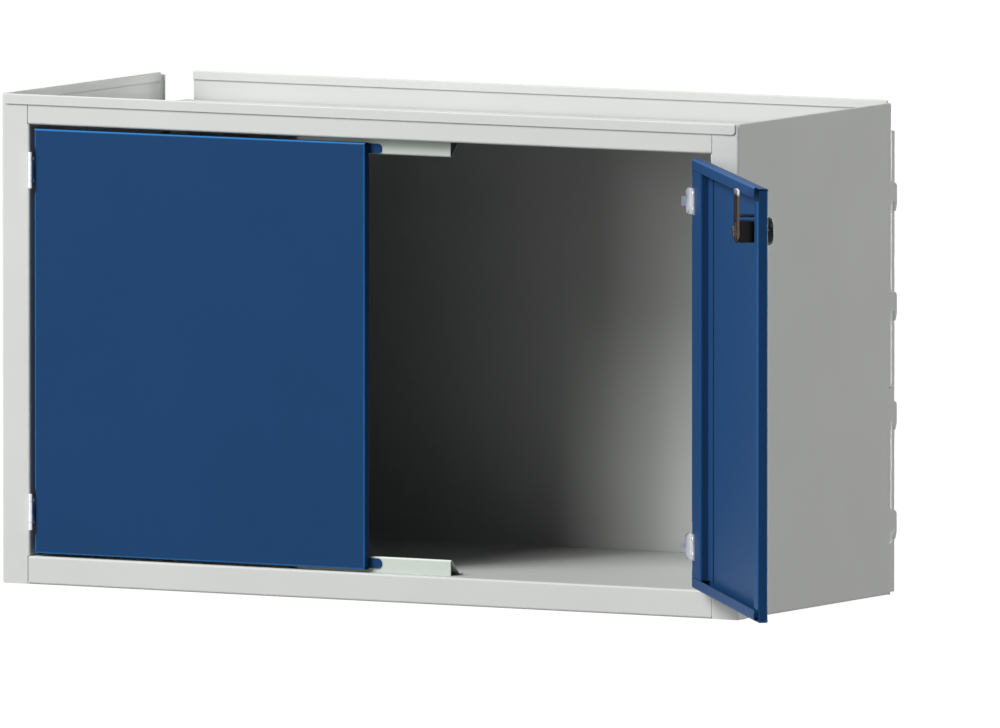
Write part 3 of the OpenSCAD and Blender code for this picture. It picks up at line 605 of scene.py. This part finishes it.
class CABINET_OT_stage(bpy.types.Operator):
    """Pale floor, soft lamps and white surroundings"""
    bl_idname = "cabinet.stage"
    bl_label = "Stage"

    def execute(self, context):
        settings = context.scene.cabinet_stage
        self.floor(settings)
        self.surroundings(context.scene, settings)
        context.scene.cycles.diffuse_bounces = settings.sheet_bounces
        for name, (place_at, size, power) in LAMPS.items():
            self.lamp(name, place_at, size, power * settings.lamp_level)
        return {"FINISHED"}

    def floor(self, settings):
        radius, near, far, near_glow = 90, 1.5, 5.0, 0.82
        bounce_grey, shade_grey = (0.25, 0.25, 0.25, 1), (0.35, 0.35, 0.35, 1)
        deselect_all()
        bpy.ops.mesh.primitive_circle_add(vertices=64, radius=radius, fill_type="NGON",
                                          location=(0, 0, -settings.floor_drop))
        floor = bpy.context.active_object
        floor.name = "floor"
        material, tree = new_material("pale_floor", (0.8, 0.8, 0.8))
        seen = self.seen_directly(tree)
        grey = add_node(tree, "ShaderNodeBsdfDiffuse", {"Color": bounce_grey})
        dimmed = add_node(tree, "ShaderNodeBsdfDiffuse", {"Color": shade_grey})
        # under the cabinet the floor glows less, so that its shadow shows, and far off it is plain white
        where = add_node(tree, "ShaderNodeTexCoord").outputs["Object"]
        distance = add_node(tree, "ShaderNodeVectorMath", {"operation": "LENGTH"})
        tree.links.new(where, distance.inputs[0])
        level = add_node(tree, "ShaderNodeMapRange",
                         {"From Min": near, "From Max": far, "To Min": near_glow, "To Max": 1.0},
                         {"Value": distance.outputs["Value"]})
        glow = add_node(tree, "ShaderNodeEmission", {"Color": (1, 1, 1, 1)}, {"Strength": level.outputs["Result"]})
        white = add_node(tree, "ShaderNodeAddShader")
        tree.links.new(dimmed.outputs[0], white.inputs[0])
        tree.links.new(glow.outputs[0], white.inputs[1])
        above = self.either(tree, seen, grey, white)
        # from below the floor is clear, so that the underside can be looked at
        under = add_node(tree, "ShaderNodeNewGeometry").outputs["Backfacing"]
        clear = add_node(tree, "ShaderNodeBsdfTransparent")
        sided = self.either(tree, under, above, clear)
        add_node(tree, "ShaderNodeOutputMaterial", None, {"Surface": sided.outputs[0]})
        floor.data.materials.append(material)

    def either(self, tree, share, first, second):
        """Mixes two shaders: the first at share 0 and the second at share 1."""
        mix = add_node(tree, "ShaderNodeMixShader", None, {"Fac": share})
        tree.links.new(first.outputs[0], mix.inputs[1])
        tree.links.new(second.outputs[0], mix.inputs[2])
        return mix

    def seen_directly(self, tree):
        """1 for camera, glossy and transmission rays, which see white."""
        path = add_node(tree, "ShaderNodeLightPath")
        seen = path.outputs["Is Camera Ray"]
        for kind in ("Is Glossy Ray", "Is Transmission Ray"):
            any_of = add_node(tree, "ShaderNodeMath", {"operation": "MAXIMUM"})
            tree.links.new(seen, any_of.inputs[0])
            tree.links.new(path.outputs[kind], any_of.inputs[1])
            seen = any_of.outputs[0]
        return seen

    def surroundings(self, scene, settings):
        world = bpy.data.worlds.new("white_surroundings")
        scene.world = world
        world.use_nodes = True
        tree = world.node_tree
        tree.nodes.clear()
        dim = add_node(tree, "ShaderNodeBackground", {"Color": (1, 1, 1, 1), "Strength": settings.sky_level})
        white = add_node(tree, "ShaderNodeBackground", {"Color": (1, 1, 1, 1), "Strength": 1.0})
        surface = self.either(tree, self.seen_directly(tree), dim, white)
        add_node(tree, "ShaderNodeOutputWorld", None, {"Surface": surface.outputs[0]})

    def lamp(self, name, place_at, size, power):
        data = bpy.data.lights.new(name, "AREA")
        data.shape = "SQUARE"
        data.size = size
        data.energy = power
        lamp = link(bpy.data.objects.new(name, data))
        lamp.location = place_at
        lamp.rotation_euler = (MIDDLE - lamp.location).to_track_quat("-Z", "Y").to_euler()


class CABINET_OT_camera(bpy.types.Operator):
    """Camera far off to the right of the front, so that the view is almost without perspective"""
    bl_idname = "cabinet.camera"
    bl_label = "Camera"

    def execute(self, context):
        scene = context.scene
        settings = scene.cabinet_stage
        turn, rise = settings.camera_turn, settings.camera_rise
        back = Vector((math.sin(turn) * math.cos(rise), -math.cos(turn) * math.cos(rise), math.sin(rise)))
        data = bpy.data.cameras.new("camera")
        data.sensor_width = 36
        data.lens = data.sensor_width * settings.camera_distance / settings.view_width
        data.clip_end = settings.camera_distance * 5
        camera = link(bpy.data.objects.new("camera", data))
        camera.location = CAMERA_AIM + back * settings.camera_distance
        camera.rotation_euler = (-back).to_track_quat("-Z", "Y").to_euler()
        scene.camera = camera
        scene.view_settings.view_transform = "Standard"
        return {"FINISHED"}


class CABINET_PT_pieces(bpy.types.Panel):
    """Lists the steps that dress the cabinet"""
    bl_idname = "CABINET_PT_pieces"
    bl_label = "Double door cabinet"
    bl_space_type = "VIEW_3D"
    bl_region_type = "UI"
    bl_category = "Cabinet"

    def draw(self, context):
        for step in STEPS:
            self.layout.operator(step.bl_idname)


STEPS = (CABINET_OT_camera, CABINET_OT_body, CABINET_OT_strikes, CABINET_OT_doors, CABINET_OT_hinge_leaves,
         CABINET_OT_hinge_pins, CABINET_OT_rivets, CABINET_OT_lock, CABINET_OT_stage)
SETTINGS = {"cabinet_sheets": FoldedSheetSettings, "cabinet_paint": PaintSettings,
            "cabinet_stage": StageSettings}


def register():
    for cls in (*SETTINGS.values(), *STEPS, CABINET_PT_pieces):
        bpy.utils.register_class(cls)
    for name, cls in SETTINGS.items():
        setattr(bpy.types.Scene, name, bpy.props.PointerProperty(type=cls))


def unregister():
    for name in SETTINGS:
        delattr(bpy.types.Scene, name)
    for cls in reversed((*SETTINGS.values(), *STEPS, CABINET_PT_pieces)):
        bpy.utils.unregister_class(cls)


def main():
    register()
    for step in STEPS:
        family, name = step.bl_idname.split(".")
        getattr(getattr(bpy.ops, family), name)()


if __name__ == "__main__":
    main()
